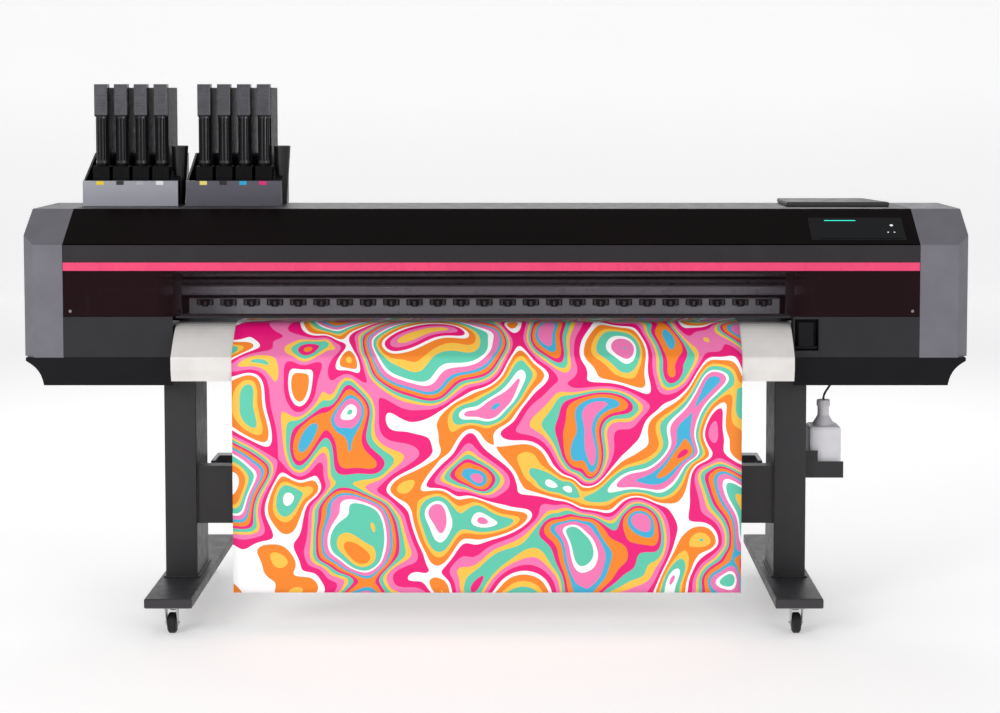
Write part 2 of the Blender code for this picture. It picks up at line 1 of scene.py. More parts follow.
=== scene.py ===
"""The look of the printer cutter on the CAD frame: materials, details, printed sheet, lights and camera."""

import math

import bmesh
import bpy
from mathutils import Matrix, Vector


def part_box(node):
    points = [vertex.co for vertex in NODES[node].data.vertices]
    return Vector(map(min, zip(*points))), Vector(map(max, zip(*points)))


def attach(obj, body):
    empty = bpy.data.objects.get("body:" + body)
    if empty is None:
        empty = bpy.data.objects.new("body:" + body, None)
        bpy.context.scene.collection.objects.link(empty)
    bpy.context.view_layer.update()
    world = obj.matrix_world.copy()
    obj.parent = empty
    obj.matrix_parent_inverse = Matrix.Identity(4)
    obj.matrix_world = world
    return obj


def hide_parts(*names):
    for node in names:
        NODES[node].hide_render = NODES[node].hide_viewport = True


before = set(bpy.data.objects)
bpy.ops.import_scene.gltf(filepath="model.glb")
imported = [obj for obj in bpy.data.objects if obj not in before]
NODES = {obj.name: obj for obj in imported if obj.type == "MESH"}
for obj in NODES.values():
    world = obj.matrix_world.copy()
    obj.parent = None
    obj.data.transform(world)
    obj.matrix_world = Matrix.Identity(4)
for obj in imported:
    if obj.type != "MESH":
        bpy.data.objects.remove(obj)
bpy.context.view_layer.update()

# The camera, at the photograph's viewing angle
CAMERA_AT, CAMERA_PITCH, CAMERA_LENS = (0.083, -6.3415, 1.5191), 3.807, 77.3
CAMERA_SHIFT = (-0.025, -0.12)

# Places the details are measured from
BODY_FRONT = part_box("front_cover")[0].y
FOLD_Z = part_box("top_fascia")[0].z + 0.0015
SLOPE_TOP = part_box("top_fascia")[1]
BODY_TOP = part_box("top_cover")[1].z
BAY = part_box("top_fascia")[0].x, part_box("top_fascia")[1].x
SLOPE = math.atan2(BODY_TOP - FOLD_Z, SLOPE_TOP.y - BODY_FRONT)
DRAIN_DIAMETER = 0.0064
MEDIA_THICK = 0.0006


def srgb(red, green, blue):
    """A colour seen on screen, 0 to 255, as linear values."""
    return tuple(((c / 255 + 0.055) / 1.055) ** 2.4 if c > 10 else c / 255 / 12.92
                 for c in (red, green, blue))


def camera():
    data = bpy.data.cameras.new("camera")
    data.sensor_width, data.lens = 36, CAMERA_LENS
    data.shift_x, data.shift_y = CAMERA_SHIFT
    eye = bpy.data.objects.new("camera", data)
    eye.location = CAMERA_AT
    eye.rotation_euler = (math.radians(90 - CAMERA_PITCH), 0, 0)
    bpy.context.scene.collection.objects.link(eye)
    bpy.context.scene.camera = eye


# Materials

class Surface:
    """A Principled material that is built up node by node."""

    def __init__(self, name, colour, roughness=0.5, metallic=0.0, specular=0.5, alpha=1.0):
        self.material = bpy.data.materials.new(name)
        self.material.use_nodes = True
        self.nodes = self.material.node_tree.nodes
        self.link = self.material.node_tree.links.new
        self.shader = self.nodes["Principled BSDF"]
        self.place = self.nodes.new("ShaderNodeTexCoord").outputs["Object"]
        self.colour = colour
        for socket, value in (("Base Color", (*colour, 1)), ("Roughness", roughness), ("Metallic", metallic),
                              ("Specular IOR Level", specular), ("Alpha", alpha)):
            self.shader.inputs[socket].default_value = value

    def noise(self, scale, detail=3.0, stretch=(1, 1, 1), distortion=0.0):
        mapping = self.nodes.new("ShaderNodeMapping")
        mapping.inputs["Scale"].default_value = stretch
        self.link(self.place, mapping.inputs["Vector"])
        noise = self.nodes.new("ShaderNodeTexNoise")
        noise.inputs["Scale"].default_value = scale
        noise.inputs["Detail"].default_value = detail
        noise.inputs["Distortion"].default_value = distortion
        self.link(mapping.outputs["Vector"], noise.inputs["Vector"])
        return noise.outputs["Fac"]

    def spread(self, factor, low, high, near=0.3, far=0.7):
        """Maps a noise to values between low and high."""
        spread = self.nodes.new("ShaderNodeMapRange")
        spread.inputs["From Min"].default_value = near
        spread.inputs["From Max"].default_value = far
        spread.inputs["To Min"].default_value = low
        spread.inputs["To Max"].default_value = high
        self.link(factor, spread.inputs["Value"])
        return spread.outputs["Result"]

    def mottle(self, scale, amount, stretch=(1, 1, 1)):
        """Lets the colour drift a little lighter and darker."""
        mix = self.nodes.new("ShaderNodeMix")
        mix.data_type = "RGBA"
        mix.inputs["A"].default_value = (*(c * (1 - amount) for c in self.colour), 1)
        mix.inputs["B"].default_value = (*(min(1, c * (1 + amount)) for c in self.colour), 1)
        self.link(self.spread(self.noise(scale, 4, stretch), 0, 1), mix.inputs["Factor"])
        self.link(mix.outputs["Result"], self.shader.inputs["Base Color"])
        return self

    def patchy(self, scale, low, high, stretch=(1, 1, 1)):
        """Lets the roughness vary, as handling and dust make it."""
        self.link(self.spread(self.noise(scale, 5, stretch), low, high), self.shader.inputs["Roughness"])
        return self

    def bumpy(self, scale, strength, depth=0.0004, stretch=(1, 1, 1), detail=2):
        bump = self.nodes.new("ShaderNodeBump")
        bump.inputs["Strength"].default_value = strength
        bump.inputs["Distance"].default_value = depth
        self.link(self.noise(scale, detail, stretch), bump.inputs["Height"])
        self.link(bump.outputs["Normal"], self.shader.inputs["Normal"])
        return self

    def clearer_between(self, left, right, solid, clear):
        """Lets light through between two places across the machine, and less outside them."""
        parts = self.nodes.new("ShaderNodeSeparateXYZ")
        self.link(self.place, parts.inputs["Vector"])
        offset = self.nodes.new("ShaderNodeMath")
        offset.operation = "SUBTRACT"
        offset.inputs[1].default_value = (left + right) / 2
        self.link(parts.outputs["X"], offset.inputs[0])
        away = self.nodes.new("ShaderNodeMath")
        away.operation = "ABSOLUTE"
        self.link(offset.outputs["Value"], away.inputs[0])
        half = (right - left) / 2
        tint = self.spread(away.outputs["Value"], clear, solid, half - 0.02, half + 0.05)
        self.link(tint, self.shader.inputs["Alpha"])

    def between(self, axis, start, end, first, last):
        """Fades the colour from first to last along an axis of the object."""
        parts = self.nodes.new("ShaderNodeSeparateXYZ")
        self.link(self.place, parts.inputs["Vector"])
        wobble = self.nodes.new("ShaderNodeMath")
        wobble.operation = "MULTIPLY_ADD"
        wobble.inputs[1].default_value = abs(end - start) * 0.25
        self.link(self.noise(30, 4), wobble.inputs[0])
        self.link(parts.outputs[axis], wobble.inputs[2])
        ramp = self.nodes.new("ShaderNodeMix")
        ramp.data_type = "RGBA"
        ramp.inputs["A"].default_value = (*first, 1)
        ramp.inputs["B"].default_value = (*last, 1)
        fade = self.spread(wobble.outputs["Value"], 0, 1, start, end)
        self.link(fade, ramp.inputs["Factor"])
        self.link(ramp.outputs["Result"], self.shader.inputs["Base Color"])
        return self


def plastic(name, colour, low=0.38, high=0.55, specular=0.4):
    return Surface(name, colour, specular=specular).mottle(14, 0.07).patchy(22, low, high).bumpy(1500, 0.12)


def painted(name, colour, low=0.38, high=0.52):
    return Surface(name, colour, metallic=0.1).mottle(9, 0.08).patchy(30, low, high).bumpy(700, 0.18, 0.0005)


def brushed(name, colour, along="X", low=0.24, high=0.42):
    stretch = {"X": (0.03, 1, 1), "Y": (1, 0.03, 1), "Z": (1, 1, 0.03)}[along]
    return (Surface(name, colour, metallic=0.9).mottle(160, 0.08, stretch).patchy(220, low, high, stretch)
            .bumpy(420, 0.08, 0.0002, stretch))


def printed(name):
    """Nested rounded bands in bright colours, laid out along the sheet by its UV map."""
    made = Surface(name, srgb(245, 245, 245), specular=0.35).patchy(60, 0.32, 0.42)
    made.place = made.nodes.new("ShaderNodeUVMap").outputs["UV"]
    made.nodes[-1].uv_map = "sheet"
    height = made.noise(PATTERN_SCALE, 0.6, distortion=0.55)
    drift = made.noise(1.7, 0)
    summed = made.nodes.new("ShaderNodeMath")
    summed.operation = "MULTIPLY_ADD"
    summed.inputs[1].default_value = PATTERN_BANDS
    made.link(height, summed.inputs[0])
    shift = made.nodes.new("ShaderNodeMath")
    shift.operation = "MULTIPLY"
    shift.inputs[1].default_value = 1.3
    made.link(drift, shift.inputs[0])
    made.link(shift.outputs["Value"], summed.inputs[2])
    cycle = made.nodes.new("ShaderNodeMath")
    cycle.operation = "FRACT"
    made.link(summed.outputs["Value"], cycle.inputs[0])
    ramp = made.nodes.new("ShaderNodeValToRGB")
    ramp.color_ramp.interpolation = "CONSTANT"
    stops = ramp.color_ramp.elements
    while len(stops) < len(PATTERN):
        stops.new(0.99)
    start = 0.0
    for stop, (wide, colour) in zip(stops, PATTERN):
        stop.position = start
        stop.color = (*srgb(*colour), 1)
        start += wide / sum(w for w, _ in PATTERN)
    made.link(cycle.outputs["Value"], ramp.inputs["Fac"])
    edge = made.nodes.new("ShaderNodeSeparateXYZ")
    made.link(made.place, edge.inputs["Vector"])
    beyond = made.nodes.new("ShaderNodeMath")
    beyond.operation = "GREATER_THAN"
    beyond.inputs[1].default_value = PRINT_START
    made.link(edge.outputs["Y"], beyond.inputs[0])
    mix = made.nodes.new("ShaderNodeMix")
    mix.data_type = "RGBA"
    mix.inputs["A"].default_value = (*srgb(243, 243, 240), 1)
    made.link(beyond.outputs["Value"], mix.inputs["Factor"])
    made.link(ramp.outputs["Color"], mix.inputs["B"])
    made.link(mix.outputs["Result"], made.shader.inputs["Base Color"])
    return made.material


PATTERN_SCALE, PATTERN_BANDS = 4.5, 2.7
MAGENTA, PALE, ORANGE, AMBER = (236, 18, 121), (255, 255, 255), (245, 134, 36), (250, 196, 74)
MINT, ROSE, SKY = (94, 201, 172), (240, 120, 178), (62, 176, 214)
PATTERN = [(9, MAGENTA), (6, PALE), (9, ORANGE), (6, AMBER), (10, MINT), (5, PALE), (9, ROSE), (6, SKY),
           (8, ORANGE), (6, MAGENTA), (7, MINT), (5, AMBER), (8, ROSE)]

COVER = plastic("cover_grey", srgb(108, 106, 114), specular=0.3)
ROOF = plastic("roof_grey", srgb(66, 64, 66), specular=0.2)
CHARCOAL = plastic("cover_charcoal", srgb(40, 39, 42), 0.36, 0.5, 0.2)
SKIRT = plastic("skirt_black", srgb(18, 17, 21), 0.4, 0.58, 0.12)
BAND = plastic("band_charcoal", srgb(44, 41, 45), 0.28, 0.4, 0.18)
FASCIA = (Surface("fascia_gloss", srgb(14, 8, 9), specular=0.03).mottle(2.2, 0.2)
          .patchy(120, 0.14, 0.2).bumpy(260, 0.02))
GLOSS = (Surface("gloss_black", (0.004, 0.004, 0.005), specular=0.12).mottle(20, 0.2)
         .patchy(40, 0.08, 0.2).bumpy(30, 0.02))
STRIPE = (Surface("accent_pink", srgb(228, 68, 112), specular=0.3).mottle(8, 0.06)
          .patchy(20, 0.22, 0.34).bumpy(200, 0.03))
WINDOW = Surface("smoked_window", srgb(30, 10, 15), specular=0.12).mottle(3, 0.1).patchy(6, 0.05, 0.08)
WINDOW.clearer_between(*(corner.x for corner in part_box("front_paper_guide")), 0.86, 0.22)
# Painted light: the carriage rail and the pressure roller bar get a pale grey, lighter than their own finish,
# which stands in for the light that falls inside the bay
RAIL_PAINTED_LIGHT = painted("rail_painted_light", srgb(176, 170, 182), 0.25, 0.35)
BAR_PAINTED_LIGHT = painted("bar_painted_light", srgb(190, 190, 198), 0.25, 0.4)
STEEL = painted("stand_paint", srgb(34, 32, 35))
FEET = painted("foot_paint", srgb(50, 48, 52))
ALLOY = brushed("alloy", (0.42, 0.42, 0.44))
SATIN = brushed("satin_alloy", (0.16, 0.16, 0.18), low=0.3, high=0.5)
DARK_ALLOY = brushed("dark_alloy", (0.10, 0.095, 0.11), low=0.3, high=0.5)
ZINC = brushed("zinc", (0.55, 0.55, 0.57), "Z")
RUBBER = (Surface("rubber", srgb(30, 30, 31), specular=0.3).mottle(60, 0.2)
          .patchy(80, 0.5, 0.7).bumpy(900, 0.2))
GUIDE = painted("guide_white", srgb(222, 219, 216), 0.3, 0.42)
WHITE_ROLL = (Surface("paper_roll", srgb(236, 236, 232), specular=0.3).mottle(40, 0.03, (0.05, 1, 1))
              .bumpy(500, 0.1))
BOTTLE = (Surface("bottle_plastic", srgb(214, 212, 217), specular=0.4).mottle(25, 0.05)
          .patchy(40, 0.28, 0.42).bumpy(90, 0.08))
DARK_TRAY = srgb(24, 24, 27)
TRAY = (Surface("tray_grey", srgb(84, 82, 92), metallic=0.25).patchy(40, 0.3, 0.45).bumpy(900, 0.08, 0.0002)
        .between("Y", 0.046, 0.060, srgb(84, 82, 92), DARK_TRAY))
TRAY_LIGHT = (Surface("tray_silver", srgb(150, 151, 160), metallic=0.3).patchy(40, 0.3, 0.45)
              .bumpy(900, 0.08, 0.0002).between("Y", 0.046, 0.060, srgb(150, 151, 160), DARK_TRAY))
PACK = (Surface("pack_black", srgb(12, 12, 14), specular=0.08).mottle(40, 0.15)
        .patchy(60, 0.36, 0.5).bumpy(900, 0.05, 0.0002))
CAP = (Surface("pack_cap", srgb(74, 74, 80), specular=0.35).mottle(40, 0.1)
       .patchy(60, 0.22, 0.36).bumpy(900, 0.08, 0.0002))
SCREW = brushed("screw", (0.25, 0.25, 0.26), "Z")

LOOKS = {
    "left_foot": FEET, "right_foot": FEET, "left_leg": STEEL, "right_leg": STEEL, "stand_crossbeam": STEEL,
    "left_end_frame": DARK_ALLOY, "right_end_frame": DARK_ALLOY, "base_beam": STEEL, "carriage_rail": RAIL_PAINTED_LIGHT,
    "left_side_cover": COVER, "right_side_cover": COVER, "top_cover": ROOF, "top_service_lid": ROOF,
    "left_skirt": SKIRT, "right_skirt": SKIRT, "left_service_cover": CHARCOAL, "right_service_cover": CHARCOAL,
    "lever_housing": CHARCOAL, "front_cover": BAND, "top_fascia": FASCIA, "touch_panel": GLOSS,
    "accent_strip": STRIPE, "front_window": WINDOW, "front_paper_guide": GUIDE, "rear_paper_guide": GUIDE,
    "platen": SATIN, "feed_roller": ALLOY, "pressure_rollers": RUBBER, "pressure_roller_bar": BAR_PAINTED_LIGHT,
    "media_lever": SKIRT, "print_carriage": CHARCOAL, "cutter_unit": SKIRT, "media_roll": WHITE_ROLL,
    "left_roll_holder": CHARCOAL, "right_roll_holder": CHARCOAL, "roll_rail": SATIN,
    "left_ink_tray": TRAY_LIGHT, "right_ink_tray": TRAY, "waste_bottle": BOTTLE, "waste_bottle_bracket": STEEL,
    "waste_tube": RUBBER,
}


def looks():
    """Gives every CAD node its material."""
    for name, node in NODES.items():
        look = LOOKS.get(name)
        if "caster" in name:
            look = ZINC if name.endswith("fork") else RUBBER
        if name.startswith("ink_unit"):
            look = PACK
        if look:
            node.data.materials.clear()
            node.data.materials.append(look.material)


def soften(names, width, segments=2):
    """Rounds the edges of CAD nodes that are sharp in the solids."""
    for name in names:
        edge = NODES[name].modifiers.new("soft_edges", "BEVEL")
        edge.width = width
        edge.segments = segments
        edge.limit_method = "ANGLE"
        edge.angle_limit = math.radians(45)
        edge.harden_normals = False


# Pieces

def piece(name, bm, look, body):
    """Makes a piece from a finished bmesh whose coordinates are already in the row frame."""
    mesh = bpy.data.meshes.new(name)
    bm.to_mesh(mesh)
    bm.free()
    mesh.materials.append(look.material if isinstance(look, Surface) else look)
    obj = bpy.data.objects.new(name, mesh)
    bpy.context.scene.collection.objects.link(obj)
    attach(obj, body)
    return obj


def block(bm, x, y, z, bevel=0.0, turn=None):
    """Adds a block between limits, with rounded edges, turned by a matrix where one is given."""
    low, high = Vector((x[0], y[0], z[0])), Vector((x[1], y[1], z[1]))
    made = bmesh.ops.create_cube(bm, size=1.0)["verts"]
    bmesh.ops.scale(bm, vec=high - low, verts=made)
    bmesh.ops.translate(bm, vec=(low + high) / 2, verts=made)
    if turn is not None:
        bmesh.ops.transform(bm, matrix=turn, verts=made)
    if bevel:
        edges = list({e for v in made for e in v.link_edges})
        bmesh.ops.bevel(bm, geom=edges, offset=bevel, segments=2, affect="EDGES", profile=0.5)
    return bm


TURNS = {"X": Matrix.Rotation(math.pi / 2, 4, "Y"), "Y": Matrix.Rotation(-math.pi / 2, 4, "X"), "Z": Matrix()}


def disc(bm, centre, radius, length, axis="Z", sides=20, end_radius=None):
    """Adds a cylinder along an axis, or a cone whose +axis end has end_radius."""
    bmesh.ops.create_cone(bm, cap_ends=True, segments=sides, radius1=radius, depth=length,
                          radius2=radius if end_radius is None else end_radius,
                          matrix=Matrix.Translation(centre) @ TURNS[axis])
    return bm


SLOPE_TURN = Matrix.Translation((0, BODY_FRONT, FOLD_Z)) @ Matrix.Rotation(SLOPE, 4, "X")


def on_slope(x, along, up):
    """The limits and matrix that put a block on the sloped fascia."""
    return dict(x=x, y=along, z=up, turn=SLOPE_TURN)


def screws(name, points, radius, axis, body):
    """Round screw heads with a crossed recess."""
    bm = bmesh.new()
    for x, y, z in points:
        disc(bm, (x, y, z), radius, 0.002, axis, 14, radius * 0.8)
        thin = radius * 0.16
        for wide, tall in ((radius * 0.65, thin), (thin, radius * 0.65)):
            if axis == "Y":
                block(bm, (x - wide, x + wide), (y - 0.0013, y - 0.0009), (z - tall, z + tall))
            else:
                block(bm, (x - wide, x + wide), (y - tall, y + tall), (z + 0.0009, z + 0.0013))
    piece(name, bm, SCREW, body)


# The printed sheet

def bezier(a, b, c, d, steps):
    """Points of the cubic curve from a to d, with b and c pulling its ends."""
    made = []
    for i in range(steps + 1):
        t = i / steps
        w = ((1 - t) ** 3, 3 * t * (1 - t) ** 2, 3 * t * t * (1 - t), t**3)
        made.append(tuple(sum(k * p[n] for k, p in zip(w, (a, b, c, d))) for n in (0, 1)))
    return made


MEDIA_LOW, MEDIA_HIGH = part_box("printed_media")
SHEET_TOP = MEDIA_HIGH.z - 0.0004
HANG_Y = MEDIA_LOW.y + 0.0006
PRINT_START = 0.62            # metres along the sheet from the roll, under the carriage


def sheet_route():
    """The sheet seen from the side: off the roll, over the platen and the front guide, then straight down."""
    rise = MEDIA_HIGH.y - 0.0006
    route = [(rise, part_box("media_roll")[0].z + 0.072 + 0.026 * i) for i in range(5)]
    route += bezier((rise, 0.800), (rise, 0.848), (0.245, SHEET_TOP), (0.205, SHEET_TOP), 12)
    route += [(0.205 - 0.045 * i, SHEET_TOP) for i in range(1, 9)]
    guide_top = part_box("front_paper_guide")[1].z
    curve = bezier((-0.221, guide_top), (-0.258, guide_top), (-0.312, 0.812), (-0.3445, 0.780), 22)
    curve += [(-0.3465, 0.774), (-0.3465, 0.765)]
    for i, (y, z) in enumerate(curve):
        a, b = curve[max(i - 1, 0)], curve[min(i + 1, len(curve) - 1)]
        run = math.dist(a, b)
        lift = SHEET_TOP - guide_top
        route.append((y + (b[1] - a[1]) / run * lift, z - (b[0] - a[0]) / run * lift))
    steps = 26
    start = 0.755
    fall = start - MEDIA_LOW.z - 0.0006
    route += [(HANG_Y, start - fall * i / steps) for i in range(steps + 1)]
    return route


def printed_sheet():
    """A grid along the route, with a slight wave where it hangs, thickened by a modifier."""
    route = sheet_route()
    left, right = MEDIA_LOW.x + 0.0005, MEDIA_HIGH.x - 0.0005
    along = [0.0]
    for a, b in zip(route, route[1:]):
        along.append(along[-1] + math.dist(a, b))
    bm = bmesh.new()
    uv = bm.loops.layers.uv.new("sheet")
    columns = 36
    rows = []
    for y, z in route:
        hang = max(0.0, (0.70 - z) / 0.6) if y < -0.3 else 0.0
        row = []
        for i in range(columns + 1):
            part = i / columns
            wave = 0.0012 * hang * math.sin(part * math.pi * 3 + 0.6) + 0.0012 * hang
            row.append(bm.verts.new((left + (right - left) * part, y + wave, z)))
        rows.append(row)
    for low, high, a, b in zip(rows, rows[1:], along, along[1:]):
        for i in range(columns):
            face = bm.faces.new((low[i], low[i + 1], high[i + 1], high[i]))
            face.smooth = True
            for loop, (u, v) in zip(face.loops, ((i, a), (i + 1, a), (i + 1, b), (i, b))):
                loop[uv].uv = (u / columns * (right - left), v)
    obj = piece("media_sheet", bm, printed("printed_media_look"), "frame")
    thick = obj.modifiers.new("thickness", "SOLIDIFY")
    thick.thickness = MEDIA_THICK
    thick.offset = 0
    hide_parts("printed_media")


def drain_tube():
    """The same route as the CAD tube, a little smoother, with a ribbed cap where it meets the bottle."""
    low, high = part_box("waste_bottle")
    x, y = (low.x + high.x) / 2, (low.y + high.y) / 2
    bottom = high.z + 0.0004
    top = (x + 0.025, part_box("right_skirt")[0].z - 0.0004)
    points = bezier((x, bottom), (x, 0.650), (x + 0.025, 0.655), top, 14)
    curve = bpy.data.curves.new("drain_tube", "CURVE")
    curve.dimensions = "3D"
    curve.bevel_depth = DRAIN_DIAMETER / 2
    curve.bevel_resolution = 3
    curve.use_fill_caps = True
    line = curve.splines.new("POLY")
    line.points.add(len(points) - 1)
    for point, (px, pz) in zip(line.points, points[::-1]):
        point.co = (px, y, pz, 1)
    curve.materials.append(RUBBER.material)
    obj = bpy.data.objects.new("drain_tube", curve)
    bpy.context.scene.collection.objects.link(obj)
    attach(obj, "frame")
    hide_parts("waste_tube")
    bm = bmesh.new()
    disc(bm, (x, y, high.z - 0.010), 0.0188, 0.018, "Z", 28)
    for i in range(28):
        a = 2 * math.pi * i / 28
        at = Matrix.Translation((x, y, high.z - 0.010)) @ Matrix.Rotation(a, 4, "Z")
        block(bm, (0.0182, 0.0196), (-0.0007, 0.0007), (-0.008, 0.008), turn=at)
    piece("bottle_cap", bm, BOTTLE, "waste_bottle")


# Details on the body

def fascia_details():
    """The touch panel's screen and its signs."""
    low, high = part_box("touch_panel")
    face = 0.0012
    bm = bmesh.new()
    glass = on_slope((low.x + 0.020, high.x - 0.012), (0.030, 0.132), (face, face + 0.0006))
    block(bm, **glass, bevel=0.0002)
    piece("screen_glass", bm, SCREEN, "frame")
    top = face + 0.0008
    bm = bmesh.new()
    block(bm, **on_slope((low.x + 0.045, low.x + 0.135), (0.1215, 0.1245), (face + 0.0005, top)))
    piece("screen_bar", bm, CYAN_LIGHT, "frame")
    bm = bmesh.new()
    for dx, along, radius in ((-0.034, 0.098, 0.0048), (-0.030, 0.062, 0.0024), (-0.048, 0.062, 0.0024)):
        at = SLOPE_TURN @ Matrix.Translation((high.x + dx, along, top))
        made = bmesh.ops.create_cone(bm, cap_ends=True, segments=18, radius1=radius, radius2=radius * 0.95,
                                     depth=0.0004)
        bmesh.ops.transform(bm, matrix=at, verts=made["verts"])
    piece("screen_signs", bm, PALE_LIGHT, "frame")


def light(name, colour, strength):
    made = Surface(name, colour).patchy(40, 0.3, 0.5)
    made.shader.inputs["Emission Color"].default_value = (*colour, 1)
    made.shader.inputs["Emission Strength"].default_value = strength
    return made


CYAN_LIGHT = light("screen_cyan", srgb(40, 205, 190), 1.3)
PALE_LIGHT = light("screen_pale", srgb(200, 210, 215), 0.7)
SCREEN = Surface("screen_glass", (0.003, 0.004, 0.005), specular=0.12).mottle(30, 0.2).patchy(40, 0.05, 0.12)


def body_screws():
    """The two screws that hold the window in the front cover."""
    ends = (BAY[0] + 0.020, BAY[1] - 0.020)
    screws("window_screws", [(x, BODY_FRONT + 0.0005, 0.902) for x in ends], 0.0042, "Y", "front_cover")


def inside():
    """What shows through the window: pinch units, rail edges, belt and the bay's back wall."""
    low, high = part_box("pressure_roller_bar")
    pitch, count = 0.0682, 25
    start = (low.x + high.x) / 2 - pitch * (count - 1) / 2
    body, arms, springs = bmesh.new(), bmesh.new(), bmesh.new()
    for i in range(count):
        x = start + i * pitch
        block(body, (x - 0.024, x + 0.024), (low.y - 0.004, low.y + 0.006), (0.9005, 0.9185), 0.0015)
        block(body, (x - 0.009, x + 0.009), (low.y - 0.0065, low.y - 0.002), (0.8965, 0.9125), 0.001)
        for dx in (-0.017, 0.017):
            arm = x + dx
            block(arms, (arm - 0.003, arm + 0.003), (low.y - 0.0075, low.y - 0.003), (0.899, 0.917), 0.0008)
            disc(arms, (arm, low.y - 0.008, 0.9085), 0.0028, 0.002, "Y", 10)
        for k in range(4):
            disc(springs, (x, low.y - 0.0050, 0.9015 + k * 0.0032), 0.0042, 0.0011, "Z", 10)
    piece("pinch_units", body, RUBBER, "pressure_bar")
    piece("pinch_arms", arms, SATIN, "pressure_bar")
    piece("pinch_springs", springs, ALLOY, "pressure_bar")
    rail_low, rail_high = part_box("carriage_rail")
    ends = (rail_low.x + 0.01, rail_high.x - 0.01)
    bm = bmesh.new()
    block(bm, ends, (rail_low.y - 0.0012, rail_low.y + 0.002), (0.9505, 0.9545), 0.0004)
    block(bm, ends, (rail_low.y - 0.0008, rail_low.y + 0.002), (0.9335, 0.9350), 0.0003)
    piece("rail_edges", bm, ALLOY, "frame")
    bm = bmesh.new()
    for z, tall in ((0.968, 0.009), (0.990, 0.004)):
        block(bm, (rail_low.x + 0.02, rail_high.x - 0.02), (0.0135, 0.0150), (z, z + tall), 0.0003)
    piece("drive_belt", bm, RUBBER, "frame")
    bm = bmesh.new()
    block(bm, (rail_low.x + 0.004, rail_high.x - 0.004), (0.020, 0.023), (0.845, 1.140), 0.001)
    for k in range(24):
        x = rail_low.x + 0.06 + k * 0.098
        block(bm, (x, x + 0.050), (0.0185, 0.0205), (1.040, 1.046), 0.0006)
    piece("bay_back_wall", bm, BAY_WALL, "frame")


def posts():
    """Small blocks at the upper and lower ends of the front cover's posts."""
    low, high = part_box("front_paper_guide")
    bm = bmesh.new()
    for x in (low.x + 0.006, high.x - 0.004):
        block(bm, (x - 0.012, x + 0.012), (BODY_FRONT + 0.005, BODY_FRONT + 0.0235), (0.986, 1.012), 0.002)
        block(bm, (x - 0.009, x + 0.009), (BODY_FRONT + 0.0045, BODY_FRONT + 0.0245), (0.893, 0.905), 0.002)
    piece("post_blocks", bm, SKIRT, "front_cover")


BAY_WALL = plastic("bay_wall", srgb(26, 20, 24), 0.45, 0.6)


# Ink packs

LABELS = ((("yellow", (240, 205, 30)), ("black", (12, 12, 14)), ("grey", (170, 170, 175)),
           ("white", (235, 235, 235))),
          (("pale_yellow", (235, 220, 120)), ("black_two", (12, 12, 14)), ("cyan", (20, 170, 215)),
           ("magenta", (225, 30, 120))))


def ink_packs():
    """The packs' details, a colour label below each and the rims of the trays' cups."""
    number = 0
    for tray, labels in zip(("left_ink_tray", "right_ink_tray"), LABELS):
        tray_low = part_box(tray)[0]
        for label, colour in labels:
            number += 1
            low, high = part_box(f"ink_unit_{number}")
            x, front = (low.x + high.x) / 2, low.y + 0.004
            pack(number, x, front, high.z)
            chip = plastic(f"label_{label}", srgb(*colour), 0.3, 0.4)
            bm = bmesh.new()
            edge = (tray_low.y - 0.0008, tray_low.y + 0.002)
            block(bm, (x - 0.012, x + 0.010), edge, (1.2480, 1.2596), 0.0006)
            piece(f"ink_label_{number}", bm, chip, "frame")
        cup_rim(tray, Vector((tray_low.x + 0.2795, 0.110, 1.362)))


def cup_rim(tray, top):
    """The rounded rim of the tapered cup at the end of a tray."""
    rim = bmesh.new()
    sides, wall = 28, 0.0022
    profile = ((0.0252, -0.001), (0.0256, 0.0012), (0.0252 - wall, 0.0014), (0.0240 - wall, 0))
    turns = [2 * math.pi * k / sides for k in range(sides)]
    rings = []
    for radius, up in profile:
        rings.append([rim.verts.new((top.x + radius * math.cos(a), top.y + radius * math.sin(a), top.z + up))
                      for a in turns])
    for low, high in zip(rings, rings[1:]):
        for k in range(sides):
            rim.faces.new((low[k], low[(k + 1) % sides], high[(k + 1) % sides], high[k])).smooth = True
    piece(f"{tray}_cup_rim", rim, CAP, "frame")


def pack(number, x, front, top):
    """The cap, the rounded glossy column and the foot block that give an ink pack its outline."""
    body = f"ink_unit_{number}"
    bm = bmesh.new()
    block(bm, (x - 0.0195, x + 0.0195), (front - 0.001, front + 0.039), (top - 0.093, top - 0.0006), 0.003)
    for k in range(5):
        z = top - 0.082 + k * 0.008
        block(bm, (x - 0.012, x + 0.012), (front - 0.0022, front + 0.001), (z, z + 0.0036), 0.0007)
    block(bm, (x - 0.015, x + 0.015), (front - 0.002, front + 0.001), (top - 0.034, top - 0.008), 0.0012)
    piece(f"{body}_cap", bm, CAP, body)
    bm = bmesh.new()
    disc(bm, (x, front + 0.0175, top - 0.165), 0.0168, 0.138, "Z", 32)
    disc(bm, (x, front + 0.0175, top - 0.098), 0.0182, 0.006, "Z", 32)
    disc(bm, (x, front + 0.0175, top - 0.231), 0.0182, 0.008, "Z", 32)
    shine = piece(f"{body}_column", bm, COLUMN, body)
    shine.data.shade_smooth()
    shine.data.set_sharp_from_angle(angle=math.radians(40))
    bm = bmesh.new()
    block(bm, (x - 0.025, x + 0.025), (front - 0.0046, front + 0.050), (1.266, 1.3035), 0.0025)
    block(bm, (x - 0.006, x + 0.006), (front - 0.0062, front), (1.277, 1.293), 0.0012)
    piece(f"{body}_foot", bm, PACK, body)


COLUMN = (Surface("pack_column", srgb(36, 36, 40), specular=0.6).mottle(30, 0.2)
          .patchy(50, 0.08, 0.16).bumpy(60, 0.02))


# Stand, casters and floor

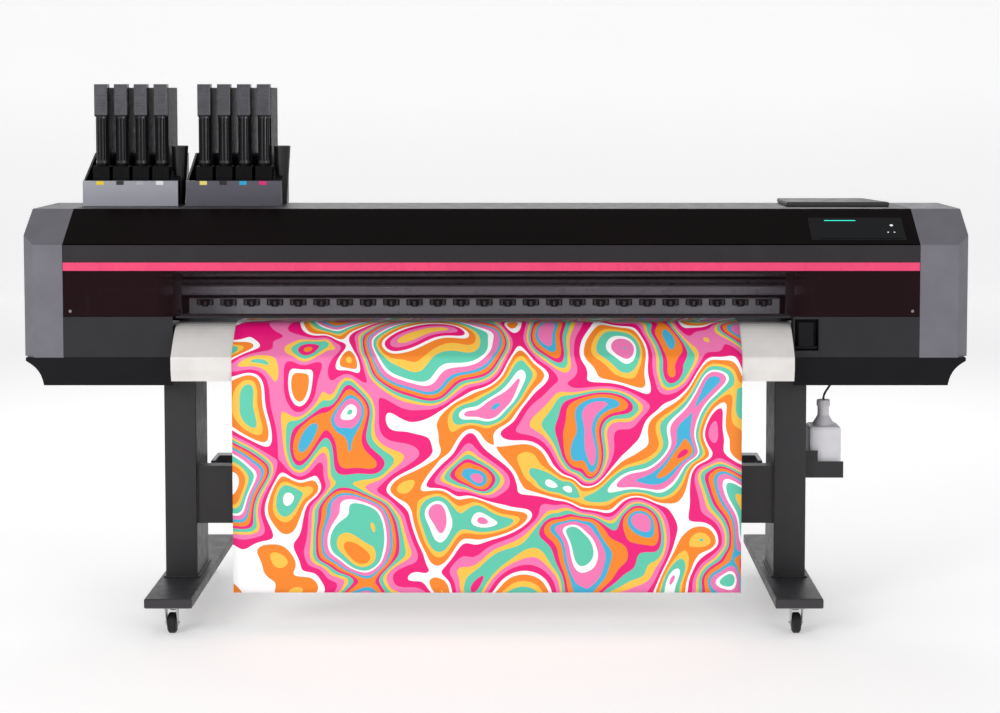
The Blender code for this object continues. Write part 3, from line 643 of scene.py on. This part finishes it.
def stand_details():
    """A thin plate round the lower end of each leg."""
    for side in ("left", "right"):
        leg_low, leg_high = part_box(f"{side}_leg")
        foot_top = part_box(f"{side}_foot")[1].z
        bm = bmesh.new()
        block(bm, (leg_low.x - 0.006, leg_high.x + 0.006), (leg_low.y - 0.006, leg_high.y + 0.006),
              (foot_top, foot_top + 0.005), 0.001)
        piece(f"{side}_leg_plate", bm, STEEL, "frame")


def casters():
    """A hub with a ring of small studs on both sides of each wheel."""
    for name in [n for n in NODES if n.endswith("caster_wheel")]:
        low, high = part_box(name)
        body = name.replace("_caster_wheel", "_wheel")
        centre = (low + high) / 2
        for sign, side in ((-1, "a"), (1, "b")):
            bm = bmesh.new()
            x = centre.x + sign * (high.x - low.x) / 2
            disc(bm, (x - sign * 0.0006, centre.y, centre.z), 0.0165, 0.0024, "X", 28)
            disc(bm, (x + sign * 0.0002, centre.y, centre.z), 0.0075, 0.0022, "X", 18)
            for k in range(5):
                a = 2 * math.pi * k / 5
                at = (x + sign * 0.0004, centre.y + 0.0115 * math.cos(a), centre.z + 0.0115 * math.sin(a))
                disc(bm, at, 0.0022, 0.0014, "X", 10)
            piece(f"{body}_hub_{side}", bm, CAP, body)


def floor_and_light():
    """A pale floor that curves up into a wall, three soft lamps and an even sky."""
    bm = bmesh.new()
    bends = [math.pi / 2 * i / 12 for i in range(1, 13)]
    profile = [(FLOOR_NEAR, 0.0), (FLOOR_FAR, 0.0)]
    profile += [(FLOOR_FAR + WALL_CURVE * math.sin(a), WALL_CURVE - WALL_CURVE * math.cos(a)) for a in bends]
    profile += [(FLOOR_FAR + WALL_CURVE, WALL_TOP)]
    rows = [[bm.verts.new((x, y, z)) for x in (-FLOOR_HALF_WIDE, FLOOR_HALF_WIDE)] for y, z in profile]
    for low, high in zip(rows, rows[1:]):
        bm.faces.new((low[0], low[1], high[1], high[0])).smooth = True
    mesh = bpy.data.meshes.new("backdrop")
    bm.to_mesh(mesh)
    bm.free()
    look = Surface("backdrop_pale", srgb(246, 246, 246), specular=0.1).mottle(0.7, 0.008).patchy(3, 0.75, 0.9)
    look.shader.inputs["Emission Color"].default_value = (1, 1, 1, 1)
    look.shader.inputs["Emission Strength"].default_value = BACKDROP_GLOW
    mesh.materials.append(look.material)
    backdrop = bpy.data.objects.new("backdrop", mesh)
    bpy.context.scene.collection.objects.link(backdrop)
    bpy.context.scene.view_settings.view_transform = "Standard"
    world = bpy.data.worlds.new("studio")
    world.use_nodes = True
    world.node_tree.nodes["Background"].inputs["Color"].default_value = (1, 1, 1, 1)
    world.node_tree.nodes["Background"].inputs["Strength"].default_value = SKY_STRENGTH
    bpy.context.scene.world = world
    for name, at, aim, size, power in LAMPS:
        data = bpy.data.lights.new(name, "AREA")
        data.shape = "RECTANGLE"
        data.size, data.size_y = size
        data.energy = power
        lamp = bpy.data.objects.new(name, data)
        lamp.location = at
        lamp.rotation_euler = (Vector(aim) - Vector(at)).to_track_quat("-Z", "Y").to_euler()
        bpy.context.scene.collection.objects.link(lamp)


FLOOR_NEAR, FLOOR_FAR, FLOOR_HALF_WIDE = -14.0, 9.5, 40.0
WALL_CURVE, WALL_TOP = 1.6, 9.0
BACKDROP_GLOW, SKY_STRENGTH = 0.28, 0.5
LAMPS = (("key", (-3.6, -5.4, 2.9), (0, 0, 0.7), (2.4, 2.6), 150),
         ("fill", (3.8, -5.2, 2.2), (0, 0, 0.8), (2.6, 2.2), 75),
         ("back", (0.0, 4.2, 3.6), (0, 0, 0.9), (4.0, 1.5), 60))

camera()
drain_tube()
looks()
PACKS = [n for n in NODES if n.startswith("ink_unit")]
soften(PACKS, 0.0015)
soften(["print_carriage", "top_service_lid", "left_ink_tray", "right_ink_tray", "waste_bottle_bracket"], 0.0015)
soften(["left_side_cover", "right_side_cover", "left_skirt", "right_skirt"], 0.0025)
printed_sheet()
fascia_details()
body_screws()
inside()
posts()
ink_packs()
stand_details()
casters()
floor_and_light()
